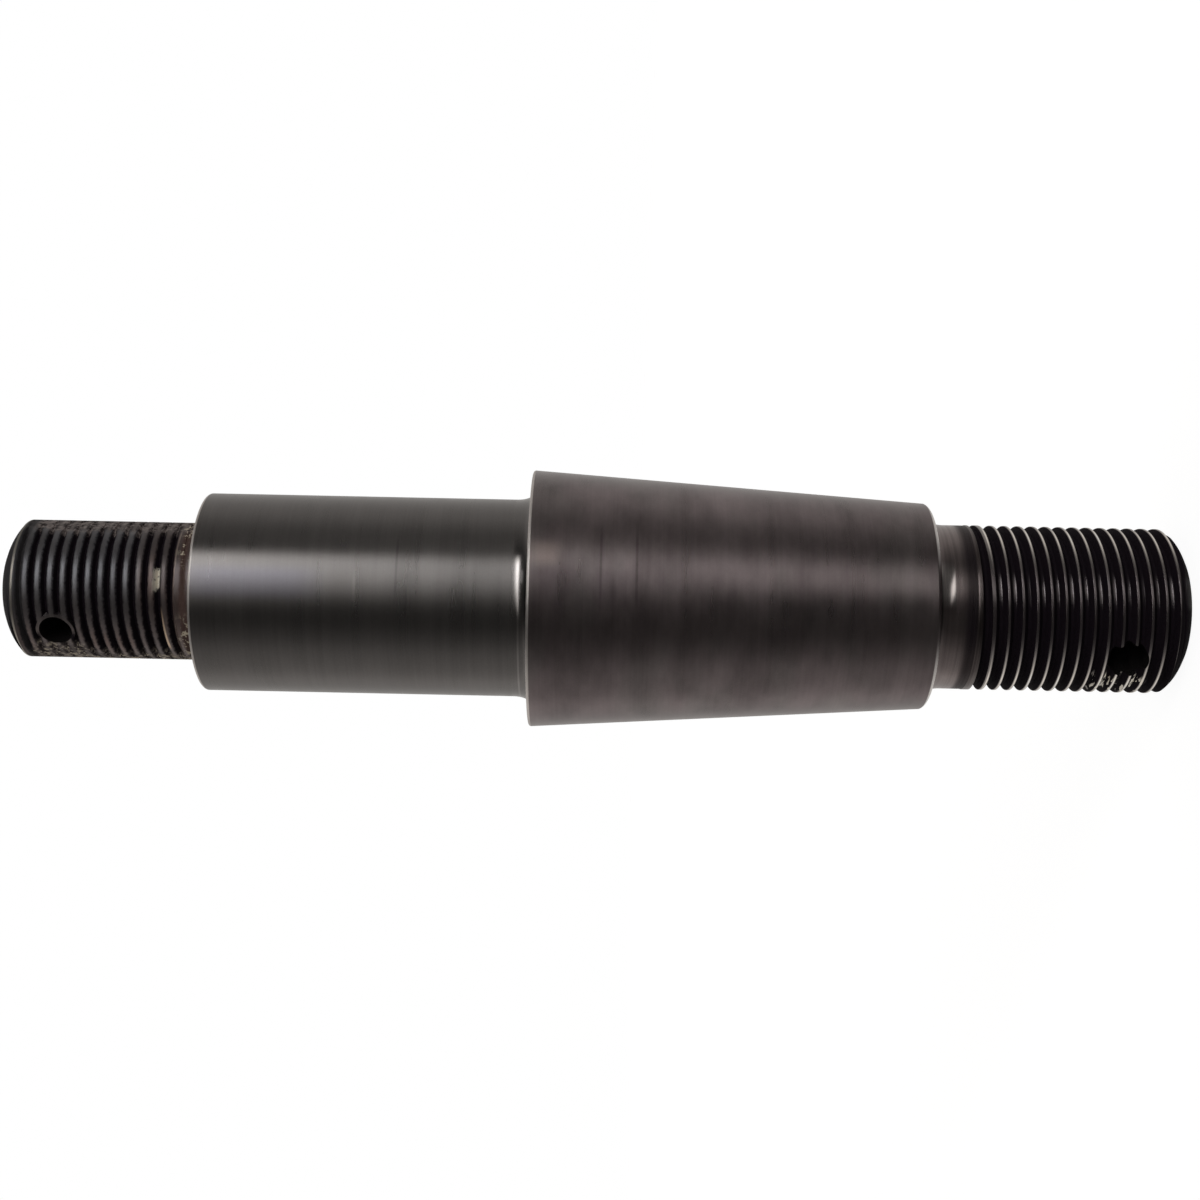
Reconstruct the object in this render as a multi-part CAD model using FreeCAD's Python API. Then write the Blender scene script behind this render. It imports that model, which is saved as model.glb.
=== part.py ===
import FreeCAD, Part
import math
import os

# A steel support pin, turned from one bar. From the bottom up it has a large threaded end,
# a plain neck, a long seat taper that widens upwards, a square shoulder, a round journal
# and a small threaded end. A locking hole for a split pin crosses each threaded end.
# The pin stands on its large threaded end: the origin is the centre of that end face,
# +Z runs along the axis towards the small threaded end, and both locking holes run along Y.
# All sizes are in millimetres.

# Large threaded end: 3/4 inch, 16 threads to the inch. The solid has the major diameter.
BASE_THREAD_DIAMETER = 19.05
BASE_NECK_DIAMETER = 18.95
BASE_END_LENGTH = 28.85
BASE_THREAD_LENGTH = 24.4
BASE_FACE_DIAMETER = 14.0
BASE_CROWN_LENGTH = 2.0
BASE_CROWN_RADIUS = 5.6

# Small threaded end: 5/8 inch, 18 threads to the inch. The solid has the major diameter.
TIP_THREAD_DIAMETER = 15.875
TIP_END_LENGTH = 22.35
TIP_FACE_DIAMETER = 10.4
TIP_CROWN_LENGTH = 1.75
TIP_CROWN_RADIUS = 7.5

# Seat taper
TAPER_LENGTH = 45.45
TAPER_LARGE_DIAMETER = 29.65
TAPER_SMALL_DIAMETER = 23.75
TAPER_SMALL_EDGE = 0.5

# Journal
JOURNAL_LENGTH = 37.3
JOURNAL_DIAMETER = 22.8
JOURNAL_EDGE = 0.25

# Shoulder between the taper and the journal, and the fillets at the foot of each step
SHOULDER_EDGE_RADIUS = 0.35
SHOULDER_FILLET_RADIUS = 1.0
NECK_FILLET_RADIUS = 1.0
TIP_FILLET_RADIUS = 0.6

# Locking holes for split pins, each with a broken edge at both mouths
BASE_HOLE_DIAMETER = 4.4
BASE_HOLE_HEIGHT = 7.15
TIP_HOLE_DIAMETER = 3.6
TIP_HOLE_FROM_TIP = 6.45
HOLE_MOUTH_CHAMFER = 0.35

# Centre holes that carried the bar in the lathe, one in each end face
CENTRE_MOUTH_DIAMETER = 4.2
CENTRE_PILOT_DIAMETER = 1.6
CENTRE_PILOT_DEPTH = 4.0
CENTRE_CONE_ANGLE = 60.0

# Radii and heights that follow from the sizes above
base_radius = BASE_THREAD_DIAMETER / 2
neck_radius = BASE_NECK_DIAMETER / 2
taper_small_radius = TAPER_SMALL_DIAMETER / 2
taper_large_radius = TAPER_LARGE_DIAMETER / 2
journal_radius = JOURNAL_DIAMETER / 2
tip_radius = TIP_THREAD_DIAMETER / 2

taper_start = BASE_END_LENGTH
shoulder_height = taper_start + TAPER_LENGTH
journal_end = shoulder_height + JOURNAL_LENGTH
total_height = journal_end + TIP_END_LENGTH


def point(radius, height):
    """A point of the half section, which lies in the XZ plane."""
    return FreeCAD.Vector(radius, 0, height)


def line(start, end):
    return Part.LineSegment(start, end).toShape()


def arc(start, end, radius):
    """A convex arc of the given radius from start to end, bulging away from the axis."""
    chord = end - start
    middle = (start + end) * 0.5
    sagitta = radius - math.sqrt(radius ** 2 - chord.Length ** 2 / 4)
    outward = FreeCAD.Vector(chord.z, 0, -chord.x).normalize()
    return Part.Arc(start, middle + outward * sagitta, end).toShape()


def fillet_arc(start, end, corner):
    """A concave quarter round between two faces that meet square at corner."""
    centre = start + end - corner
    towards_corner = (corner - centre).normalize()
    radius = (start - centre).Length
    return Part.Arc(start, centre + towards_corner * radius, end).toShape()


def pin_section():
    """The closed half section of the pin, from the axis at the bottom round to the top."""
    thread_end = point(base_radius, BASE_THREAD_LENGTH)
    neck_start = point(neck_radius, BASE_THREAD_LENGTH + base_radius - neck_radius)
    neck_corner = point(neck_radius, taper_start)
    shoulder_corner = point(journal_radius, shoulder_height)
    tip_corner = point(tip_radius, journal_end)

    taper_slope = (taper_large_radius - taper_small_radius) / TAPER_LENGTH
    small_edge_top = point(
        taper_small_radius + taper_slope * TAPER_SMALL_EDGE, taper_start + TAPER_SMALL_EDGE
    )
    shoulder_edge_foot = point(
        taper_large_radius - taper_slope * SHOULDER_EDGE_RADIUS,
        shoulder_height - SHOULDER_EDGE_RADIUS,
    )
    shoulder_edge_top = point(taper_large_radius - SHOULDER_EDGE_RADIUS, shoulder_height)

    corners = [
        point(0, 0),
        point(BASE_FACE_DIAMETER / 2, 0),
        point(base_radius, BASE_CROWN_LENGTH),
        thread_end,
        neck_start,
        point(neck_radius, taper_start - NECK_FILLET_RADIUS),
        point(neck_radius + NECK_FILLET_RADIUS, taper_start),
        point(taper_small_radius - TAPER_SMALL_EDGE, taper_start),
        small_edge_top,
        shoulder_edge_foot,
        shoulder_edge_top,
        point(journal_radius + SHOULDER_FILLET_RADIUS, shoulder_height),
        point(journal_radius, shoulder_height + SHOULDER_FILLET_RADIUS),
        point(journal_radius, journal_end - JOURNAL_EDGE),
        point(journal_radius - JOURNAL_EDGE, journal_end),
        point(tip_radius + TIP_FILLET_RADIUS, journal_end),
        point(tip_radius, journal_end + TIP_FILLET_RADIUS),
        point(tip_radius, total_height - TIP_CROWN_LENGTH),
        point(TIP_FACE_DIAMETER / 2, total_height),
        point(0, total_height),
    ]
    # The stretches that aren't straight, by the corner that each one starts from
    rounds = {
        1: arc(corners[1], corners[2], BASE_CROWN_RADIUS),
        5: fillet_arc(corners[5], corners[6], neck_corner),
        9: arc(corners[9], corners[10], SHOULDER_EDGE_RADIUS),
        11: fillet_arc(corners[11], corners[12], shoulder_corner),
        15: fillet_arc(corners[15], corners[16], tip_corner),
        17: arc(corners[17], corners[18], TIP_CROWN_RADIUS),
    }
    edges = []
    for number, start in enumerate(corners):
        end = corners[(number + 1) % len(corners)]
        edges.append(rounds.get(number) or line(start, end))
    return Part.Face(Part.Wire(edges))


def locking_hole(diameter, height, surface_radius):
    """The cutter for one hole along Y, with a chamfer where it breaks the round surface."""
    across = FreeCAD.Vector(0, 1, 0)
    half = surface_radius + HOLE_MOUTH_CHAMFER
    drill = Part.makeCylinder(diameter / 2, 2 * half, FreeCAD.Vector(0, -half, height), across)
    mouths = []
    for side in (-1, 1):
        mouth = Part.makeCone(
            diameter / 2 + 2 * HOLE_MOUTH_CHAMFER,
            diameter / 2,
            2 * HOLE_MOUTH_CHAMFER,
            FreeCAD.Vector(0, side * half, height),
            across * -side,
        )
        mouths.append(mouth)
    return drill.fuse(mouths)


def centre_hole(height, direction):
    """The cutter for one centre hole: a 60 degree cone and a short pilot below it."""
    inward = FreeCAD.Vector(0, 0, direction)
    face_centre = FreeCAD.Vector(0, 0, height)
    mouth_radius = CENTRE_MOUTH_DIAMETER / 2
    pilot_radius = CENTRE_PILOT_DIAMETER / 2
    cone_depth = (mouth_radius - pilot_radius) / math.tan(math.radians(CENTRE_CONE_ANGLE / 2))
    cone = Part.makeCone(mouth_radius, pilot_radius, cone_depth, face_centre, inward)
    pilot = Part.makeCylinder(pilot_radius, CENTRE_PILOT_DEPTH, face_centre, inward)
    return cone.fuse(pilot)


def support_pin():
    turned = pin_section().revolve(FreeCAD.Vector(0, 0, 0), FreeCAD.Vector(0, 0, 1), 360)
    cutters = [
        locking_hole(BASE_HOLE_DIAMETER, BASE_HOLE_HEIGHT, base_radius),
        locking_hole(TIP_HOLE_DIAMETER, total_height - TIP_HOLE_FROM_TIP, tip_radius),
        centre_hole(0, 1),
        centre_hole(total_height, -1),
    ]
    pin = turned.cut(cutters)
    return pin.removeSplitter()


os.makedirs("parts", exist_ok=True)
pin = support_pin()
pin.exportStep("parts/support_pin.step")
print(f"support_pin: {total_height:.2f} mm tall, {pin.Volume / 1000:.2f} cubic cm, valid {pin.isValid()}")
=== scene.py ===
# %% [markdown]
# A turned steel support pin
#
# This pin is one piece of steel, made on a lathe. A long taper sits in the middle and widens
# upwards to a square shoulder. Above the shoulder comes a round journal. Both ends are threaded,
# and a hole for a split pin crosses each thread. The steel is blackened and oiled, so it shows
# soft dark reflections with fine turning marks in them.
#
# The frame that the script loads is the plain solid model of the pin. The lesson turns a finer
# copy of it with Blender's own tools, cuts true screw threads into it, drills it, and then
# gives it a finish that is made only of shader nodes.

# %% Load the frame
import math

import bpy
from mathutils import Matrix, Vector, noise


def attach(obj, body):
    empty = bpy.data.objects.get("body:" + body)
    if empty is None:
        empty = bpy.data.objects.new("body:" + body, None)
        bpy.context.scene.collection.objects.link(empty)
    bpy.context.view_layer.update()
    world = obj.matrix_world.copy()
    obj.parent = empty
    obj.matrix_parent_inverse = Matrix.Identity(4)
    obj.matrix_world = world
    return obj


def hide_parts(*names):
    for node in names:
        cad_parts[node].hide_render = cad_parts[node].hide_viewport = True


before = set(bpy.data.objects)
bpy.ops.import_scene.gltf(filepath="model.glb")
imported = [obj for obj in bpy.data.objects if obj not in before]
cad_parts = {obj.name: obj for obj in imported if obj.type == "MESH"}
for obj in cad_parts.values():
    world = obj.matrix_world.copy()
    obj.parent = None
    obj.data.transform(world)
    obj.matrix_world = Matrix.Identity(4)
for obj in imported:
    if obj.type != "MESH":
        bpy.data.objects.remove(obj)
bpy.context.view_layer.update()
print("pieces in the frame:", len(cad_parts))

# %% [markdown]
# Sizes in a workshop are in millimetres and Blender's are in metres, so every size is multiplied
# by MM once, and the material turns places back into millimetres with TO_MM. The pin stands on its
# large threaded end. Heights run up from that end's face. Each turned surface has 180 flat sides,
# the steps.

# %% Sizes of the pin
MM = 0.001
TO_MM = 1000.0
STEPS = 180

BASE_RADIUS = 19.05 / 2
NECK_RADIUS = 18.95 / 2
TIP_RADIUS = 15.875 / 2
TAPER_SMALL_RADIUS = 23.75 / 2
TAPER_LARGE_RADIUS = 29.65 / 2
JOURNAL_RADIUS = 22.8 / 2

BASE_THREAD_END = 24.4
TAPER_START = 28.85
SHOULDER = 74.3
JOURNAL_END = 111.6
TOP = 133.95

print(f"the pin is {TOP:.2f} mm tall and {2 * TAPER_LARGE_RADIUS:.2f} mm across")

# %% [markdown]
# Operators work on whatever is selected, so a script that models by hand keeps two habits. It
# deselects everything before it adds something new, and it picks one piece before it changes that
# piece, so that each step starts from a known state.

# %% Helpers for modelling by hand
def start_fresh():
    """Nothing is selected, and Blender is in object mode."""
    if bpy.context.object and bpy.context.object.mode != "OBJECT":
        bpy.ops.object.mode_set(mode="OBJECT")
    bpy.ops.object.select_all(action="DESELECT")


def pick(piece):
    """Only this piece is selected, and it is the active one."""
    start_fresh()
    piece.select_set(True)
    bpy.context.view_layer.objects.active = piece
    return piece


def close_up(piece):
    """Merge what lies in one place and turn all faces outwards."""
    pick(piece)
    bpy.ops.object.mode_set(mode="EDIT")
    bpy.ops.mesh.select_all(action="SELECT")
    bpy.ops.mesh.remove_doubles(threshold=1e-7)
    bpy.ops.mesh.normals_make_consistent(inside=False)
    bpy.ops.object.mode_set(mode="OBJECT")
    return piece


# %% [markdown]
# A lathe makes any round shape from one line, the half section. Blender's Spin tool does that
# too. Here the shape is grown ring by ring instead, because each ring then has a plain meaning:
# a filled circle is extruded to the next height and scaled to the next radius, as one would with
# E and S on the keyboard. The last filled circle closes the shape.

# %% Turn a solid ring by ring
def turn(name, section):
    """A closed round solid. The section is a list of (radius, height) in millimetres."""
    start_fresh()
    radius, height = section[0]
    bpy.ops.mesh.primitive_circle_add(
        vertices=STEPS, radius=radius * MM, fill_type="NGON", location=(0, 0, height * MM)
    )
    piece = bpy.context.object
    piece.name = piece.data.name = name
    bpy.ops.object.transform_apply(location=True, rotation=True, scale=True)
    bpy.ops.object.mode_set(mode="EDIT")
    bpy.ops.mesh.select_mode(type="FACE")
    bpy.ops.mesh.select_all(action="SELECT")
    for next_radius, next_height in section[1:]:
        rise = (0, 0, (next_height - height) * MM)
        bpy.ops.mesh.extrude_region_move(TRANSFORM_OT_translate={"value": rise})
        growth = next_radius / radius
        bpy.ops.transform.resize(value=(growth, growth, 1), center_override=(0, 0, 0))
        radius, height = next_radius, next_height
    bpy.ops.object.mode_set(mode="OBJECT")
    return close_up(piece)


# %% [markdown]
# No real edge is sharp. A turned corner has a small round on it, and that round is what catches
# the light as a bright line. The half section therefore holds arcs: convex ones on the outer
# edges and hollow ones, the fillets, at the foot of each step. Two small functions give the
# points of such arcs, so that the section reads as a drawing does.

# %% Arcs for the half section
def arc(start, end, radius, points=8):
    """Points from start to end, both included, on an arc that bulges away from the axis."""
    run, rise = end[0] - start[0], end[1] - start[1]
    chord = math.hypot(run, rise)
    to_centre = math.sqrt(max(radius ** 2 - chord ** 2 / 4, 0))
    centre_r = (start[0] + end[0]) / 2 - to_centre * rise / chord
    centre_z = (start[1] + end[1]) / 2 + to_centre * run / chord
    first = math.atan2(start[1] - centre_z, start[0] - centre_r)
    last = math.atan2(end[1] - centre_z, end[0] - centre_r)
    sweep = (last - first + math.pi) % (2 * math.pi) - math.pi
    angles = [first + sweep * number / points for number in range(points + 1)]
    return [(centre_r + radius * math.cos(a), centre_z + radius * math.sin(a)) for a in angles]


def fillet(wall_radius, face_height, along, outward, points=14):
    """Points of a hollow quarter ellipse, from a round wall to the flat face that it meets."""
    angles = [math.pi / 2 * number / points for number in range(points + 1)]
    return [
        (wall_radius + outward * (1 - math.cos(a)), face_height + along * (1 - math.sin(a)))
        for a in angles
    ]


# %% [markdown]
# The half section runs once along the outline, from the centre hole in the large end to the one
# in the small end. Those two small cones are what the lathe holds the bar by. Each stretch of the
# section has a name of its own, so that the list at the end reads like the pin itself.

# %% The centre holes and the sizes of the edges
def centre_hole(face_height, inward):
    """The small cone in an end face, from its bottom out to the broken edge of its mouth."""
    mouth, pilot, depth = 2.1, 0.8, 4.0
    cone_depth = (mouth - pilot) / math.tan(math.radians(30))
    return [
        (pilot, face_height + inward * depth),
        (pilot, face_height + inward * cone_depth),
        (mouth - 0.06, face_height + inward * 0.1),
        (mouth + 0.05, face_height),
    ]


TAPER_SLOPE = (TAPER_LARGE_RADIUS - TAPER_SMALL_RADIUS) / (SHOULDER - TAPER_START)
SHOULDER_ROUND = 0.28
SMALL_END_EDGE = 0.5
FILLET_LENGTH = 1.9
FILLET_OUTWARD = 0.75
TIP_FILLET = 0.6

# %% The half section of the pin
base_crown_foot = (7.12, 0.12)
base_crown_rim = (BASE_RADIUS - 0.05, 1.92)
base_end = centre_hole(0, 1)
base_end += arc((6.85, 0.0), base_crown_foot, 0.25, points=3)
base_end += arc(base_crown_foot, base_crown_rim, 5.6, points=14)[1:]
base_end += arc(base_crown_rim, (BASE_RADIUS, 2.06), 0.2, points=3)[1:]

neck = [
    (BASE_RADIUS, BASE_THREAD_END),
    (NECK_RADIUS, BASE_THREAD_END + 0.1),
]
neck += fillet(NECK_RADIUS, TAPER_START, -FILLET_LENGTH, FILLET_OUTWARD)

taper = arc(
    (TAPER_SMALL_RADIUS - SMALL_END_EDGE, TAPER_START),
    (TAPER_SMALL_RADIUS + TAPER_SLOPE * SMALL_END_EDGE, TAPER_START + SMALL_END_EDGE),
    1.0, points=5,
)
taper += arc(
    (TAPER_LARGE_RADIUS - TAPER_SLOPE * SHOULDER_ROUND, SHOULDER - SHOULDER_ROUND),
    (TAPER_LARGE_RADIUS - SHOULDER_ROUND, SHOULDER),
    SHOULDER_ROUND, points=7,
)

journal = fillet(JOURNAL_RADIUS, SHOULDER, FILLET_LENGTH, FILLET_OUTWARD)[::-1]
journal += arc(
    (JOURNAL_RADIUS, JOURNAL_END - 0.27), (JOURNAL_RADIUS - 0.27, JOURNAL_END), 0.3, points=6
)

tip_crown_rim = (TIP_RADIUS - 0.11, TOP - 1.68)
tip_crown_foot = (5.3, TOP - 0.08)
tip_end = fillet(TIP_RADIUS, JOURNAL_END, TIP_FILLET, TIP_FILLET, points=7)[::-1]
tip_end += arc((TIP_RADIUS, TOP - 1.86), tip_crown_rim, 0.22, points=4)
tip_end += arc(tip_crown_rim, tip_crown_foot, 7.5, points=12)[1:]
tip_end += arc(tip_crown_foot, (5.05, TOP), 0.25, points=3)[1:]
tip_end += reversed(centre_hole(TOP, -1))

half_section = base_end + neck + taper + journal + tip_end
pin = turn("support_pin_turned", half_section)
print(f"the blank has {len(half_section)} rings and {len(pin.data.polygons)} faces")

# %% [markdown]
# The photographed pin is seen from one side, level, with its axis lying across the picture. All
# that has a place around the pin, such as where each thread starts, is counted from that side.
# The angle on the surface is zero towards the camera and grows towards the picture's top. Both
# holes run along Y, and the camera sees their mouths 37.3 degrees below the middle.

# %% Angles around the pin
HOLE_ANGLE = 37.3
CAMERA_AZIMUTH = HOLE_ANGLE - 90.0


def around(angle):
    """The azimuth in radians of a surface angle in degrees."""
    return math.radians(CAMERA_AZIMUTH + angle)


# %% [markdown]
# A thread is a groove that climbs one pitch in each turn. On the lathe, a pointed tool cuts it
# and is drawn back near the end, so the groove grows shallow and narrow and runs out. The same
# happens here: the section of the tool is swept by the Screw modifier, the last turns are moved
# outwards, and a Boolean cuts the sweep out of the blank.
#
# The sides of the groove stand at 60 degrees to each other. Where they meet the surface, the
# tool's section curves outwards and ends in a shallow flare, which leaves a small round on both
# edges of the crest. Only one half of the section is written out, and the other half is its mirror
# image.

# %% The section of a threading tool
def tool_section(radius, pitch, crest, depth, edge_round):
    """Closed loop of (radius, offset along the pin) in millimetres."""
    flank = math.radians(30)
    half_flank = depth * math.tan(flank)
    half_mouth = (pitch - crest) / 2
    half_root = half_mouth - half_flank
    root_radius = radius - depth
    side = [(root_radius, half_root * 0.45), (root_radius + 0.03, half_root * 0.9)]
    tangent = edge_round * math.tan(flank)
    foot_radius = radius - tangent * math.cos(flank)
    foot = half_mouth - tangent * math.sin(flank)
    centre_radius, centre = radius - edge_round, half_mouth + tangent
    first = math.atan2(foot_radius - centre_radius, foot - centre)
    # The round ends at 47 degrees. From there a shallow flare leads out of the surface.
    for turned in (0, 16, 32, 47):
        angle = first - math.radians(turned)
        side.append(
            (centre_radius + edge_round * math.sin(angle), centre + edge_round * math.cos(angle))
        )
    last_radius, last = side[-1]
    flare, just_above, well_above = math.radians(13), radius + 0.012, radius + 0.25
    side.append((just_above, last + (just_above - last_radius) / math.tan(flare)))
    side.append((well_above, side[-1][1] + 0.01))
    return side + [(r, -z) for r, z in reversed(side)]


# %% [markdown]
# The Screw modifier is the lathe here: it turns the section round the axis and lifts it by one
# pitch in each turn. The photograph shows at what height and angle one crest of the thread stands.
# The first place of the section is worked out from that, whole turns further down, so that every
# crest comes out where it is seen.

# %% Sweep the tool along its thread
def smooth_step(value, start, stop):
    """0 before start and 1 beyond stop, with a soft passage. Stop may be the lower of the two."""
    share = min(max((value - start) / (stop - start), 0), 1)
    return share * share * (3 - 2 * share)


def thread_tool(
    name, section, pitch, crest_height, crest_angle, low, high, run_out, lift, packed=None
):
    """A closed screw from about low to high, which backs out between the two run_out heights."""
    start_angle = around(180.0 / STEPS)
    turns_from_crest = (start_angle - around(crest_angle)) / (2 * math.pi)
    first = crest_height + pitch / 2 + pitch * turns_from_crest
    first += math.ceil((low - first) / pitch) * pitch
    turns = math.ceil((high - first) / pitch)
    points = [
        (r * MM * math.cos(start_angle), r * MM * math.sin(start_angle), (first + z) * MM)
        for r, z in section
    ]
    loop = [(number, (number + 1) % len(points)) for number in range(len(points))]
    mesh = bpy.data.meshes.new(name)
    mesh.from_pydata(points, loop, [])
    tool = bpy.data.objects.new(name, mesh)
    bpy.context.scene.collection.objects.link(tool)
    pick(tool)
    screw = tool.modifiers.new("Thread", "SCREW")
    screw.axis = "Z"
    screw.angle = 2 * math.pi
    screw.screw_offset = pitch * MM
    screw.iterations = turns
    screw.steps = screw.render_steps = STEPS
    bpy.ops.object.modifier_apply(modifier=screw.name)

    # Draw the tool back where the thread runs out and where its groove is packed.
    for number, vertex in enumerate(tool.data.vertices):
        centre = first + pitch * (number // len(points)) / STEPS
        out = smooth_step(centre, *run_out)
        if packed:
            azimuth = math.degrees(math.atan2(vertex.co.y, vertex.co.x))
            surface_angle = (azimuth - CAMERA_AZIMUTH + 180) % 360 - 180
            out = max(out, packed(centre, surface_angle))
        radius = math.hypot(vertex.co.x, vertex.co.y)
        growth = (radius + out * lift * MM) / radius
        vertex.co.x *= growth
        vertex.co.y *= growth

    bpy.ops.object.mode_set(mode="EDIT")
    bpy.ops.mesh.select_all(action="SELECT")
    bpy.ops.mesh.fill_holes(sides=0)
    return close_up(tool)


# %% [markdown]
# A Boolean modifier takes the room that the tool fills out of the piece. The exact solver is the
# slower one, but it copes with the many thin faces where the thread grazes the surface.

# %% Cut with a tool
def cut(piece, tool):
    """Cut the tool out of the piece, and throw the tool away."""
    pick(piece)
    boolean = piece.modifiers.new("Cut", "BOOLEAN")
    boolean.operation = "DIFFERENCE"
    boolean.solver = "EXACT"
    boolean.object = tool
    bpy.ops.object.modifier_apply(modifier=boolean.name)
    bpy.data.objects.remove(tool)
    return piece


# %% [markdown]
# The large thread has 16 turns to the inch. Its crests are narrow and crisp. It starts below the
# end face, so that the first turn is already at full depth there, and runs out into the neck.

# %% Cut the large thread
INCH = 25.4
BASE_PITCH = INCH / 16
BASE_DEPTH = 0.82
BASE_CREST_HEIGHT, BASE_CREST_ANGLE = 24.24, 11.0
base_tool = thread_tool(
    "base_thread_tool",
    tool_section(BASE_RADIUS, BASE_PITCH, crest=0.25, depth=BASE_DEPTH, edge_round=0.05),
    BASE_PITCH, BASE_CREST_HEIGHT, BASE_CREST_ANGLE, low=-2.4, high=26.3,
    run_out=(22.4, 25.5), lift=BASE_DEPTH + 0.15,
)
print("the large thread's tool has", len(base_tool.data.polygons), "faces")
cut(pin, base_tool)
print("with the large thread the pin has", len(pin.data.polygons), "faces")

# %% [markdown]
# The small thread has 18 turns to the inch and broad crests with worn edges. Grease and grit have
# set hard in its groove along two stretches, above and below as the camera sees it, so there the
# groove is almost level with the crests. The tool is drawn back there too, by an uneven amount.

# %% Where the small thread is filled with grime
TIP_PITCH = INCH / 18
TIP_DEPTH = 0.62
TIP_CREST_HEIGHT, TIP_CREST_ANGLE = 115.1, 7.0
TIP_HOLE_RADIUS = 1.8
TIP_HOLE_HEIGHT = TOP - 6.45
TIP_LIP_RADIUS = 2.17


def packed_grime(height, surface_angle):
    """How far the groove is filled, from 0 to 1."""
    above = smooth_step(surface_angle, 50, 64) * (1 - smooth_step(surface_angle, 105, 125))
    near_hole = 1 - smooth_step(abs(height - TIP_HOLE_HEIGHT), 2.6, 4.2)
    first = 60 - 14 * near_hole
    below = smooth_step(-surface_angle, first, first + 14)
    below *= 1 - smooth_step(-surface_angle, 105, 125)
    crumbling = 1 - smooth_step(height, 119, 124)
    uneven = noise.noise(Vector((surface_angle / 3, height * 2.2, 0)))
    return max(above, below) * (0.76 - 0.14 * crumbling + (0.16 + 0.22 * crumbling) * uneven)


# %% [markdown]
# Round the hole the drill has pushed the thread's edges into a narrow lip. The tool leaves that
# lip standing, because a plug as wide as the lip is taken out of the tool first. The thread runs
# out towards the journal, so there the first of the two run-out heights is the upper one.

# %% Cut the small thread
tip_tool = thread_tool(
    "tip_thread_tool",
    tool_section(TIP_RADIUS, TIP_PITCH, crest=0.56, depth=TIP_DEPTH, edge_round=0.26),
    TIP_PITCH, TIP_CREST_HEIGHT, TIP_CREST_ANGLE, low=112.4, high=135.6,
    run_out=(114.3, 112.5), lift=TIP_DEPTH + 0.12, packed=packed_grime,
)
print("the small thread's tool has", len(tip_tool.data.polygons), "faces")
start_fresh()
bpy.ops.mesh.primitive_cylinder_add(
    vertices=72, radius=TIP_LIP_RADIUS * MM, depth=24 * MM,
    location=(0, 0, TIP_HOLE_HEIGHT * MM), rotation=(math.radians(90), 0, 0),
)
lip_plug = bpy.context.object
cut(tip_tool, lip_plug)
cut(pin, tip_tool)
print("with both threads the pin has", len(pin.data.polygons), "faces")

# %% [markdown]
# The holes for the split pins are drilled straight through, level, after the threads are cut.
# The drill is a turned solid as well, with a flare at both ends that breaks the edge of the
# hole. It is turned upright, laid down along Y and lifted to its height.

# %% Drill the holes for the split pins
BASE_HOLE_RADIUS = 2.2
BASE_HOLE_HEIGHT = 7.15


def drill(name, radius, surface, height, broken_edge):
    """Cut one hole along Y through the pin, with its edge broken by so many millimetres."""
    overshoot = 0.35
    reach, flare = surface + overshoot, broken_edge + overshoot
    half = [(radius, reach - flare), (radius + flare, reach)]
    section = [(r, -z) for r, z in reversed(half)] + half
    bit = turn(name, section)
    bpy.ops.object.mode_set(mode="EDIT")
    bpy.ops.mesh.select_all(action="SELECT")
    bpy.ops.transform.rotate(value=math.radians(90), orient_axis="X", center_override=(0, 0, 0))
    bpy.ops.transform.translate(value=(0, 0, height * MM))
    bpy.ops.object.mode_set(mode="OBJECT")
    cut(pin, bit)


drill("base_drill", BASE_HOLE_RADIUS, BASE_RADIUS, BASE_HOLE_HEIGHT, broken_edge=0.06)
drill("tip_drill", TIP_HOLE_RADIUS, TIP_RADIUS, TIP_HOLE_HEIGHT, broken_edge=0.12)
close_up(pin)
print("with both holes the pin has", len(pin.data.polygons), "faces")

# %% [markdown]
# The faces are flat, but the steel should look round. Smooth shading blends the light over
# neighbouring faces, apart from those that meet at more than 28 degrees. The Weighted Normal
# modifier then lets the large faces lead, so that the narrow ones on the rounds don't bend the
# light on the long walls beside them.

# %% Smooth shading that keeps the crisp edges
pick(pin)
bpy.ops.object.shade_smooth_by_angle(angle=math.radians(28))
weighted = pin.modifiers.new("Even normals", "WEIGHTED_NORMAL")
weighted.keep_sharp = True
weighted.weight = 80
bpy.ops.object.modifier_apply(modifier=weighted.name)
pin.data.calc_loop_triangles()
print("the finished pin has", len(pin.data.loop_triangles), "triangles")

# %% [markdown]
# Shader nodes do arithmetic with Math nodes, one node for each plus or times. Written node by
# node, that is long and hard to read. The class below wraps a socket, so that Python's own
# + - * / on it add those Math nodes, also where the number stands on the left, as in 1 - mask.
# Two masks are joined with |, which takes the larger of the two and so never goes past 1. Every
# other node comes from its node method: type, settings, sockets.

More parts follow.
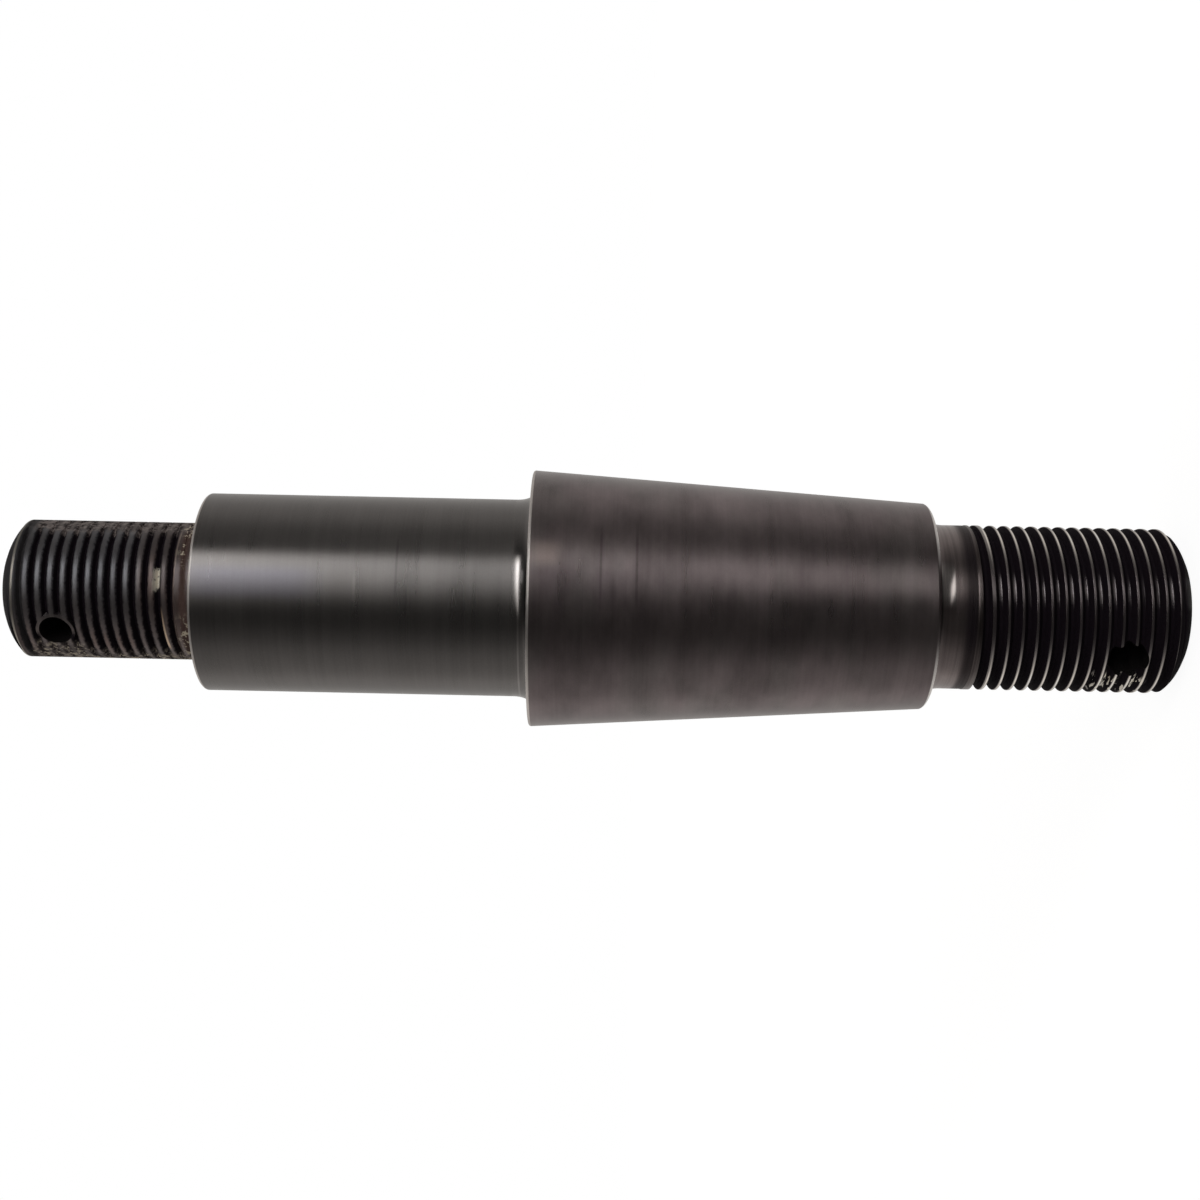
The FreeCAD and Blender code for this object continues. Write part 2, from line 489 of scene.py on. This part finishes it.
# %% A socket that Python can calculate with
class Sock:
    """One output of a node, with the node tree that it belongs to."""

    def __init__(self, tree, socket):
        self.tree = tree
        self.socket = socket

    def node(self, kind, settings=None, sockets=None, out=0):
        """Add a node. Its settings come first, then the values or links of its sockets."""
        added = self.tree.nodes.new(kind)
        for key, value in (settings or {}).items():
            setattr(added, key, value)
        for key, value in (sockets or {}).items():
            if isinstance(value, Sock):
                self.tree.links.new(value.socket, added.inputs[key])
            else:
                added.inputs[key].default_value = value
        return Sock(self.tree, added.outputs[out])

    def other(self, name):
        """Another output of the node that this socket belongs to."""
        return Sock(self.tree, self.socket.node.outputs[name])

    def into(self, kind):
        """End the tree here: link this shader to the first socket of an output node."""
        self.tree.links.new(self.socket, self.tree.nodes.new(kind).inputs[0])

    def maths(self, operation, *others):
        """Add a Math node. This socket and the others fill its inputs in order."""
        values = dict(enumerate((self,) + others))
        return self.node("ShaderNodeMath", {"operation": operation}, values)

    def __add__(self, other):
        return self.maths("ADD", other)

    __radd__ = __add__

    def __mul__(self, other):
        return self.maths("MULTIPLY", other)

    __rmul__ = __mul__

    def __sub__(self, other):
        return self.maths("SUBTRACT", other)

    def __rsub__(self, other):
        return self.node("ShaderNodeMath", {"operation": "SUBTRACT"}, {0: other, 1: self})

    def __neg__(self):
        return 0 - self

    def __abs__(self):
        return self.maths("ABSOLUTE")

    def __or__(self, other):
        return self.maths("MAXIMUM", other)

    def __truediv__(self, other):
        return self.maths("DIVIDE", other)

    def __pow__(self, other):
        return self.maths("POWER", other)

    def rise(self, low, high):
        """0 below low and 1 above high, with a soft passage between them."""
        return self.node(
            "ShaderNodeMapRange", {"interpolation_type": "SMOOTHSTEP"},
            {"Value": self, "From Min": low, "From Max": high},
        )

    def band(self, low, high, soft):
        """1 between low and high, and 0 outside."""
        return self.rise(low - soft, low + soft) * (1 - self.rise(high - soft, high + soft))

    def blend(self, first, second):
        """A colour between first and second, with this socket as the share of the second."""
        return self.node(
            "ShaderNodeMix", {"data_type": "RGBA"}, {0: self, 6: first, 7: second}, out=2
        )

    def ramp(self, stops):
        """A grey level for this socket. Each stop is a place from 0 to 1 and its level."""
        made = self.node("ShaderNodeValToRGB", {}, {"Fac": self})
        elements = made.socket.node.color_ramp.elements
        while len(elements) < len(stops):
            elements.new(0.5)
        for element, (place, level) in zip(elements, stops):
            element.position = place
            element.color = (level, level, level, 1)
        return made.node("ShaderNodeRGBToBW", {}, {0: made})

    def stretched(self, x, y, z):
        """This vector with each part multiplied, which squeezes a pattern along that part."""
        return self.node("ShaderNodeVectorMath", {"operation": "MULTIPLY"}, {0: self, 1: (x, y, z)})

    def noise(self, scale=1.0, detail=2.0, roughness=0.5):
        """Noise from 0 to 1 at the places that this vector socket gives."""
        return self.node(
            "ShaderNodeTexNoise", {"noise_dimensions": "3D"},
            {"Vector": self, "Scale": scale, "Detail": detail, "Roughness": roughness},
        )


def new_material(name):
    """An empty material, and a Sock without a socket that adds the first nodes to it."""
    material = bpy.data.materials.new(name)
    material.use_nodes = True
    material.node_tree.nodes.clear()
    return material, Sock(material.node_tree, None)


# %% [markdown]
# The finish differs along the pin. The journal is a neutral grey, the taper and the neck are
# warmer, and the grooves of the threads hold dark oil and grime. Masks say what holds where. A
# mask is 1 where it holds and 0 elsewhere, with a narrow passage between. All of them come from
# Object coordinates: the height, the distance from the axis, and the angle round it.

# %% Places on the pin for the material
steel, make = new_material("dark_oiled_steel")
place = make.node("ShaderNodeTexCoord", out="Object")
across = place.node("ShaderNodeSeparateXYZ", sockets={0: place}, out="X")
deep = across.other("Y")
height = across.other("Z") * TO_MM
distance = (across * across + deep * deep) ** 0.5 * TO_MM
forwards = across * math.cos(around(0)) + deep * math.sin(around(0))
sideways = across * math.cos(around(90)) + deep * math.sin(around(90))
turned_by = sideways.maths("ARCTAN2", forwards) / math.radians(1)

on_journal = height.rise(SHOULDER - 0.02, SHOULDER + 0.02)
on_tip = height.rise(JOURNAL_END + 0.05, JOURNAL_END + 0.15)
on_taper = height.rise(TAPER_START - 0.05, TAPER_START + 0.05) * (1 - on_journal)
below_taper = 1 - height.rise(TAPER_START - 0.05, TAPER_START + 0.05)
on_base = 1 - height.rise(25.4, 26.2)
in_shoulder_fillet = height.band(SHOULDER, SHOULDER + FILLET_LENGTH, 0.15)
in_shoulder_fillet = in_shoulder_fillet * (distance - JOURNAL_RADIUS).rise(-0.05, 0.05)
in_neck_fillet = height.band(TAPER_START - FILLET_LENGTH, TAPER_START + 0.02, 0.1)
smooth_fillet = in_shoulder_fillet | in_neck_fillet

# %% [markdown]
# Everything uneven is noise. The marks of the tool are noise that is squeezed hard along the
# axis, so that each mark runs round the pin. The patches are squeezed less and lie on the pin like
# soft clouds. Grain, grit and lumps aren't squeezed at all and differ mostly in size. The rings on
# the end faces are noise that knows only the distance from the axis.

# %% Marks of the tool, clouds and grain
marks = place.stretched(60, 60, 4500).noise(detail=2.0, roughness=0.6)
broad_marks = place.stretched(30, 30, 900).noise(detail=2.0)
neck_marks = place.stretched(70, 70, 3000).noise(detail=2.0, roughness=0.6)
patches = place.stretched(110, 110, 240).noise(detail=3.0, roughness=0.6)
tint_patches = place.stretched(90, 90, 170).noise(detail=2.0)
grain = place.noise(scale=4200.0, detail=1.0)
grit = place.noise(scale=2600.0, detail=2.0, roughness=0.7)
lumps = place.noise(scale=1300.0, detail=2.0, roughness=0.7)
strokes = place.stretched(450, 450, 3600).noise(detail=2.0, roughness=0.6)
face_rings = distance.noise(scale=5.0, detail=3.0, roughness=0.6)

# %% [markdown]
# In the grooves sits old cutting oil and grime, which is matt and nearly black. It is a shader of
# its own, mixed over the steel by a mask. On the large thread it covers the sides of the groove,
# and where the highlight falls it leaves the groove's bottom bare in patches, a painted highlight.
# On the small thread it is brown and gritty where it has packed level with the crests, with pale
# grains in it.

# %% Masks of the threads
def off_crest(pitch, crest_height, crest_angle):
    """How far a place lies from the middle of the nearest crest, in millimetres."""
    turns = (height - crest_height) / pitch - (turned_by - crest_angle) / 360
    return abs((turns + 0.5).maths("FRACT") - 0.5) * pitch


base_depth = BASE_RADIUS - distance
base_crest = (1 - base_depth.rise(0.02, 0.07)) * on_base * (1 - height.rise(23.0, 24.2))
base_root = base_depth.rise(BASE_DEPTH - 0.28, BASE_DEPTH - 0.02) * on_base
# Where the highlight falls, the groove's bottom is left bare in patches: a painted highlight.
root_painted_highlight = base_root * turned_by.band(7, 23, 8) * (0.15 + 0.85 * patches.rise(0.40, 0.58))
base_flank = base_depth.rise(0.02, 0.07) * on_base * (1 - root_painted_highlight * 0.7)
on_base_crown = 1 - height.rise(1.75, 2.0)

tip_depth = TIP_RADIUS - distance
ragged = 0.30 * (lumps - 0.5) + 0.16 * (grit - 0.5)
from_tip_crest = off_crest(TIP_PITCH, TIP_CREST_HEIGHT, TIP_CREST_ANGLE) + ragged
lower_side = (-turned_by).band(26, 145, 18)
beside_crest = (from_tip_crest + 0.17 * lower_side).rise(0.06, 0.54)
tip_groove = (tip_depth.rise(0.08, 0.28) | beside_crest) * on_tip
# The turns next to the small end's crown are made darker.
darker_thread_start = height.rise(130.4, 131.2)
near_tip_hole = 1 - abs(height - TIP_HOLE_HEIGHT).rise(2.6, 4.2)
wavy = turned_by + 14 * (grit - 0.5) + 20 * (patches - 0.5)
packed_above = wavy.rise(52, 62) * (1 - wavy.rise(105, 125))
packed_below = (-wavy - 60 + 14 * near_tip_hole).rise(0, 12) * (1 - (-wavy).rise(105, 125))
on_tip_crown = (height - (TOP - 1.9)).rise(0, 0.15)
packed = (packed_above + packed_below) * on_tip * (1 - on_tip_crown)
near_journal = height.band(111.8, 113.9, 0.5) * on_tip
dusty = (1 - from_tip_crest.rise(0.10, 0.40)) * on_tip
sandy = packed_below | near_journal * abs(turned_by).rise(15, 35)
specks = (0.3 * grit + 0.7 * lumps).rise(0.54, 0.60) * sandy * on_tip * (1 - on_tip_crown)

# %% [markdown]
# The other masks mark single places: the end faces, the holes with the lip of the small one, the
# bright rims of the shoulders, a painted highlight on the sides of the taper's small rim, and a
# few scars and chips. Each scar is a band of heights and a band of angles on the camera's side,
# so the back of the pin has none of them.

# %% Masks of the ends, the holes, the rims and the scars
end_faces = (1 - height.rise(0.02, 0.10)) | height.rise(TOP - 0.10, TOP - 0.02)


def in_hole(hole_height, radius):
    """1 inside a hole that runs along Y, and 0 outside."""
    from_axis = ((across * TO_MM) ** 2 + (height - hole_height) ** 2) ** 0.5
    return 1 - from_axis.rise(radius + 0.02, radius + 0.07)


in_base_hole = in_hole(BASE_HOLE_HEIGHT, BASE_HOLE_RADIUS)
in_holes = in_base_hole | in_hole(TIP_HOLE_HEIGHT, TIP_HOLE_RADIUS)
tip_lip = in_hole(TIP_HOLE_HEIGHT, TIP_LIP_RADIUS - 0.04) * (1 - in_holes)
tip_lip = tip_lip * (turned_by + 10 * (grit - 0.5)).rise(-44, -34)
tip_edge = height.band(TOP - 1.98, TOP - 1.72, 0.05)
from_scar = abs(height - 115.48 - 0.0095 * turned_by)
scar = (1 - from_scar.rise(0.06, 0.18)) * turned_by.band(-54, -16, 5)
last_crest = (1 - abs(height - 113.98).rise(0.04, 0.14)) * turned_by.band(-62, 58, 8)
chips = height.band(4.4, 10.6, 0.8) * turned_by.band(-84, -54, 5) * strokes.rise(0.55, 0.60)
rims = height.band(SHOULDER - 0.3, SHOULDER + 0.05, 0.05) * distance.rise(14.4, 14.5)
rims = rims | height.band(JOURNAL_END - 0.3, JOURNAL_END + 0.05, 0.05)
# The sides of the taper's small rim are painted nearly white: a painted highlight.
small_rim_painted_highlight = height.band(TAPER_START - 0.05, TAPER_START + 0.4, 0.08) * distance.rise(11.2, 11.3)
small_rim_painted_highlight = small_rim_painted_highlight * abs(turned_by).rise(15, 45)
fleck = height.band(115.55, 116.35, 0.12) * wavy.band(1, 17, 2) * grit.rise(0.34, 0.42)

# %% [markdown]
# The colour of the steel is built in layers, from broad to small. Each layer blends one more
# colour over all that came before it, by its mask. Later lines lie on top. The numbers are linear
# red, green and blue. For bare metal they tell how much of its surroundings it throws back.

# %% Colours of the journal, the taper and the neck
colour = on_journal.blend((0.196, 0.165, 0.168, 1), (0.160, 0.152, 0.148, 1))
# A bluish tint just below the journal's highlight, on the camera's side: a painted reflection.
bluish_painted_reflection = height.band(98, 112, 3) * turned_by.band(-3, 14, 4) * on_journal * (1 - on_tip)
colour = (bluish_painted_reflection * 0.7).blend(colour, (0.160, 0.155, 0.178, 1))
# A pale band on the taper below the shoulder, where the highlight falls: a painted highlight.
pale = height.band(71.0, 74.3, 1.2) * turned_by.band(15, 25, 3) * on_taper
colour = (pale * 0.8).blend(colour, (0.290, 0.240, 0.225, 1))
# Just below the highlight the taper is a little darker: painted shade.
dusky_painted_shade = height.band(63, 74.3, 2.5) * turned_by.band(-4, 13, 2.5) * on_taper
colour = (dusky_painted_shade * 0.2).blend(colour, (0.090, 0.070, 0.082, 1))
colour = below_taper.blend(colour, (0.180, 0.152, 0.150, 1))
# The neck is lighter towards its sides as the camera sees them: painted sheen.
neck_sides_painted_sheen = abs(turned_by).rise(35, 70) * below_taper
colour = neck_sides_painted_sheen.blend(colour, (0.240, 0.205, 0.200, 1))
colour = (tint_patches.rise(0.45, 0.65) * on_taper * 0.5).blend(colour, (0.185, 0.168, 0.165, 1))
# A bright patch in the neck's fillet, where the highlight falls: a painted highlight.
neck_fillet_painted_highlight = in_neck_fillet * turned_by.band(3, 27, 6)
colour = neck_fillet_painted_highlight.blend(colour, (0.55, 0.51, 0.50, 1))

# %% Colours of the threads, the rims and the scars
from_base_crest = off_crest(BASE_PITCH, BASE_CREST_HEIGHT, BASE_CREST_ANGLE)
# The large thread's crests turn nearly white away from the camera's side: a painted sheen.
crest_painted_sheen = abs(turned_by).rise(18, 60) * (1 - 0.55 * turned_by.band(70, 140, 10))
crest_painted_sheen = crest_painted_sheen * (1 - 0.8 * from_base_crest.rise(0.04, 0.11))
crest_colour = crest_painted_sheen.blend((0.17, 0.15, 0.155, 1), (1.0, 0.94, 0.86, 1))
colour = base_crest.blend(colour, crest_colour)
colour = base_root.blend(colour, (0.20, 0.18, 0.185, 1))
# The crown of the large end is made nearly black, in its colour and by the grime.
colour = (on_base_crown * 0.85).blend(colour, (0.03, 0.028, 0.028, 1))
colour = on_tip.blend(colour, (0.195, 0.198, 0.214, 1))
brown_side = (-turned_by).band(20, 140, 30) | (118.5 - height).rise(-1, 2)
brown_side = brown_side * on_tip * (0.55 + patches.rise(0.35, 0.65) * 0.45)
colour = brown_side.blend(colour, (0.175, 0.130, 0.118, 1))
# The crown of the small end is made darker.
colour = (on_tip_crown * 0.7).blend(colour, (0.065, 0.065, 0.070, 1))
colour = chips.blend(colour, (0.85, 0.80, 0.70, 1))
colour = (rims * 0.9).blend(colour, (0.75, 0.71, 0.68, 1))
colour = (tip_edge * 0.8).blend(colour, (0.50, 0.47, 0.41, 1))
colour = (scar * 0.9).blend(colour, (0.85, 0.66, 0.48, 1))
colour = (last_crest * 0.8).blend(colour, (0.60, 0.48, 0.43, 1))
colour = (tip_lip * 0.5).blend(colour, (0.22, 0.19, 0.18, 1))
colour = small_rim_painted_highlight.blend(colour, (0.95, 0.92, 0.90, 1))
colour = end_faces.blend(colour, (0.20, 0.19, 0.19, 1))

# %% [markdown]
# One number, the tone, makes every colour lighter or darker. It gathers the marks of the tool, the
# clouds and the grain, and painted light: a few fine lines round the pin that show only in the
# highlight, a painted highlight in the shoulder's fillet, and painted sheen and shade on the two
# sides of the small thread. The roughness has clouds of its own. The steel is anisotropic, because
# its marks all run round the pin and smear each reflection along it.

# %% Lines, streaks and roughness
def ring_mark(at, width):
    """1 on a fine line round the pin, and 0 beside it."""
    return 1 - abs(height - at).rise(width * 0.3, width)


# Lines painted into the highlight, and at 75.3 mm a painted highlight in the shoulder's fillet.
lines = 0.30 * ring_mark(62.4, 0.22) + 0.22 * ring_mark(66.3, 0.20) + 0.22 * ring_mark(88.75, 0.20)
lines = lines * turned_by.band(0, 32, 8) - 0.25 * ring_mark(93.3, 0.25) * turned_by.band(-5, 12, 5)
lines = lines - 0.6 * ring_mark(75.3, 0.16) * (1 - turned_by.rise(-8, 4))
run_out_marks = height.band(23.2, 25.4, 0.5) * (0.3 + 0.4 * neck_marks.rise(0.42, 0.58))
neck_streaks = 0.9 * (neck_marks - 0.5) * below_taper
streaks = 0.17 * (marks - 0.5) + 0.25 * (broad_marks - 0.5) - lines + neck_streaks - run_out_marks
cloud = (patches - 0.5) * (0.25 + 0.85 * on_taper + 1.4 * on_tip)
tone = 1 + streaks + cloud + 0.12 * (grain - 0.5)
# Small thread: lighter on the side below the axis, darker above it, as painted sheen and shade.
tone = tone + on_tip * (0.35 * lower_side - 0.35 * turned_by.band(37, 150, 11))
tone = tone + 0.9 * (face_rings - 0.5) * end_faces
colour = colour.node("ShaderNodeVectorMath", {"operation": "SCALE"}, {0: colour, "Scale": tone})

rough = 0.30 + 0.12 * (patches - 0.5) + 0.15 * (broad_marks - 0.5) + 0.16 * on_tip
rough = rough - 0.05 * below_taper
rough = rough * (1 - 0.45 * smooth_fillet) + 0.25 * (rims + small_rim_painted_highlight)

# %% The shader of the bare steel
bump_height = marks * 0.6 + broad_marks * 0.5 + grain * 0.25
bump = colour.node(
    "ShaderNodeBump", {}, {"Strength": 0.12, "Distance": 0.00002, "Height": bump_height}
)
bare_steel = colour.node(
    "ShaderNodeBsdfPrincipled", {},
    {
        "Base Color": colour, "Metallic": 1.0, "Roughness": rough, "Normal": bump,
        "Anisotropic": 0.75, "Anisotropic Rotation": 0.25,
    },
)

# %% [markdown]
# The grime is a second, matt shader over the steel. It is nearly black deep in the grooves, dusty
# where it touches the crests, and a brown crust with sandy specks where it is packed. The mask
# that mixes the two is joined from all the places that hold grime, and from the turns next to the
# small end and the crown of the large end, which it makes darker. The places where the steel shows
# through, the scars and chips, are taken out of it, and the holes are added last, their walls
# painted nearly black: painted shade.

# %% Grime over the steel
grime_colour = dusty.blend((0.010, 0.007, 0.010, 1), (0.105, 0.092, 0.090, 1))
grime_colour = near_journal.blend(grime_colour, (0.085, 0.055, 0.048, 1))
crust = lumps.rise(0.41, 0.59).blend((0.035, 0.028, 0.027, 1), (0.21, 0.18, 0.17, 1))
crust = (0.35 * (1 - from_tip_crest.rise(0.05, 0.30))).blend(crust, (0.32, 0.28, 0.26, 1))
grime_colour = packed.blend(grime_colour, crust)
grime_colour = (specks * 0.85).blend(grime_colour, (0.60, 0.53, 0.41, 1))
grime_colour = (darker_thread_start * 0.9).blend(grime_colour, (0.040, 0.038, 0.040, 1))
grime_colour = fleck.blend(grime_colour, (0.75, 0.70, 0.60, 1))
# The walls of the holes are painted nearly black: painted shade.
grime_colour = in_holes.blend(grime_colour, (0.008, 0.007, 0.007, 1))
lumpy = grime_colour.node(
    "ShaderNodeBump", {}, {"Strength": 0.6, "Distance": 0.00008, "Height": grit}
)
grime = grime_colour.node(
    "ShaderNodeBsdfPrincipled", {},
    {"Base Color": grime_colour, "Roughness": 0.75, "Specular IOR Level": 0.04, "Normal": lumpy},
)
grimy = base_flank | tip_groove | packed * 0.92 | darker_thread_start * 0.75
showing = chips | scar | tip_lip | tip_edge | last_crest
grimy = grimy * (1 - showing * 0.85) | in_holes | on_base_crown * 0.8 | on_tip * 0.3
grimy = grimy * (1 - end_faces * (0.45 + patches * 0.4)) | in_holes
surface = grimy.node("ShaderNodeMixShader", {}, {0: grimy, 1: bare_steel, 2: grime})
surface.into("ShaderNodeOutputMaterial")
print("the steel's material has", len(steel.node_tree.nodes), "nodes")

# %% [markdown]
# The pin gets its material, and then the frame is told two things: the body that the piece
# rides on, and the piece of the solid model that it replaces, which is hidden.

# %% Give the pin its material and its place in the frame
pin.data.materials.clear()
pin.data.materials.append(steel)
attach(pin, "root")
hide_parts("support_pin")

# %% [markdown]
# The camera stands level with the middle of the pin and looks straight at its axis. It lies on
# its side, so the upright pin runs across the picture, and it leans a little more, because the
# pin in the photograph isn't quite level.

# %% The camera
CAMERA_DISTANCE = 197.4
CAMERA_HEIGHT = 65.3
LEAN = math.radians(1.191)

towards = Vector((math.cos(around(0)), math.sin(around(0)), 0))
picture_up = Vector((math.cos(around(90)), math.sin(around(90)), 0))
along = Vector((0, 0, -1))
camera_right = math.cos(LEAN) * along + math.sin(LEAN) * picture_up
camera_up = math.cos(LEAN) * picture_up - math.sin(LEAN) * along

camera_data = bpy.data.cameras.new("camera")
camera_data.lens = 51.0
camera_data.sensor_width = 36.0
camera_data.shift_x = -0.00783
camera_data.shift_y = -0.0001
camera_data.clip_start = 0.005
camera = bpy.data.objects.new("camera", camera_data)
bpy.context.scene.collection.objects.link(camera)
turned = Matrix((camera_right, camera_up, towards)).transposed().to_4x4()
turned.translation = towards * CAMERA_DISTANCE * MM + Vector((0, 0, CAMERA_HEIGHT * MM))
camera.matrix_world = turned
bpy.context.scene.camera = camera
print("the camera stands at", [round(value, 4) for value in turned.translation])

# %% [markdown]
# Metal shows what is around it, so the studio is painted on the world. A grey ring runs round the
# pin, darkest in front and paler behind. A small bright light with a soft edge stands up in front,
# towards the small end, and a dim slanted strip of light stands towards the large end. The camera
# itself sees plain white.

# %% The world
world = bpy.data.worlds.new("studio")
bpy.context.scene.world = world
world.use_nodes = True
world.node_tree.nodes.clear()
sky = Sock(world.node_tree, None)
direction = sky.node("ShaderNodeTexCoord", out="Generated")


def facing(vector):
    """How far the ray points along a direction, from -1 to 1."""
    return direction.node(
        "ShaderNodeVectorMath", {"operation": "DOT_PRODUCT"},
        {0: direction, 1: tuple(vector)}, out="Value",
    )


front, upper, rising = facing(towards), facing(picture_up), facing(Vector((0, 0, 1)))
angle = upper.maths("ARCTAN2", front) / math.radians(1)
elevation = rising.maths("ARCSINE") / math.radians(1)

ring_levels = [
    (-180, 0.46), (-150, 0.50), (-118, 0.62), (-98, 0.44), (-72, 0.31), (-54, 0.16), (-36, 0.08),
    (-15, 0.07), (10, 0.05), (60, 0.10), (82, 0.25), (104, 0.46), (132, 0.54), (180, 0.46),
]
ring = (angle / 360 + 0.5).ramp([(0.5 + degrees / 360, grey) for degrees, grey in ring_levels])
ends = 1 - 0.7 * abs(rising).rise(0.80, 0.96)
upper_light = (angle + 2.5 * (elevation - 21.5)).rise(-16, 32) * (1 - angle.rise(38, 54))
upper_light = upper_light * elevation.band(16, 26.5, 3)
slanted_light = (angle - 1.5 * elevation).band(42, 66, 7) * elevation.band(-25, 5, 3)
slanted_light = slanted_light * (0.4 + 0.8 * (-elevation).rise(9, 18))
studio = ring * ends + 9.5 * upper_light + slanted_light
rays = sky.node("ShaderNodeLightPath", out="Is Camera Ray")
level = studio * (1 - rays) + rays
light_colour = (upper_light | rays).blend((1, 0.965, 0.93, 1), (1, 1, 1, 1))
background = level.node("ShaderNodeBackground", {}, {"Color": light_colour, "Strength": level})
background.into("ShaderNodeOutputWorld")
print("the world has", len(world.node_tree.nodes), "nodes")

# %% [markdown]
# The world lights the pin from all round. One small soft lamp adds a direction to that light, and
# with it the soft shadow on the floor.

# %% Lamps
PIN_MIDDLE = Vector((0, 0, 0.067))


def soft_lamp(name, surface_angle, elevation, distance, width, height, radiance):
    """A soft box that looks at the middle of the pin. Radiance 1 looks as bright as white paper."""
    data = bpy.data.lights.new(name, "AREA")
    data.shape = "RECTANGLE"
    data.size, data.size_y = width, height
    data.energy = radiance * math.pi * width * height
    lamp = bpy.data.objects.new(name, data)
    bpy.context.scene.collection.objects.link(lamp)
    level_way = Vector((math.cos(around(surface_angle)), math.sin(around(surface_angle)), 0))
    rise = math.radians(elevation)
    way = level_way * math.cos(rise) + Vector((0, 0, math.sin(rise)))
    lamp.location = PIN_MIDDLE + way * distance
    lamp.rotation_euler = way.to_track_quat("Z", "Y").to_euler()
    return lamp


key = soft_lamp(
    "key", surface_angle=28, elevation=40, distance=0.9, width=0.2, height=0.2, radiance=0.8
)
print("the lamp stands at", [round(value, 3) for value in key.location])

# %% [markdown]
# The floor is white paper under the upright pin. Most of its white is a glow of its own, and the
# rest is matt paint that catches the shadow, so the floor stays white all over and the shadow
# stays faint. It is hidden from reflections, because the studio on the world stands in for it.

# %% The floor
FLOOR_SIZE = 6.0
PAPER_PAINT = (0.2, 0.2, 0.2, 1)
PAPER_GLOW = 0.93
start_fresh()
bpy.ops.mesh.primitive_plane_add(size=FLOOR_SIZE, location=(0, 0, 0))
floor = bpy.context.object
floor.name = floor.data.name = "floor"
paper, make_paper = new_material("white_paper")
lit = make_paper.node("ShaderNodeBsdfDiffuse", {}, {"Color": PAPER_PAINT})
glow = lit.node("ShaderNodeEmission", {}, {"Color": (1, 1, 1, 1), "Strength": PAPER_GLOW})
lit.node("ShaderNodeAddShader", {}, {0: lit, 1: glow}).into("ShaderNodeOutputMaterial")
floor.data.materials.append(paper)
floor.visible_glossy = floor.visible_diffuse = floor.visible_shadow = False
print(f"the floor is {FLOOR_SIZE:.0f} m across")

# %% [markdown]
# The Standard view shows the colours as they are written, and keeps the paper white.

# %% Finish
bpy.context.scene.view_settings.view_transform = "Standard"
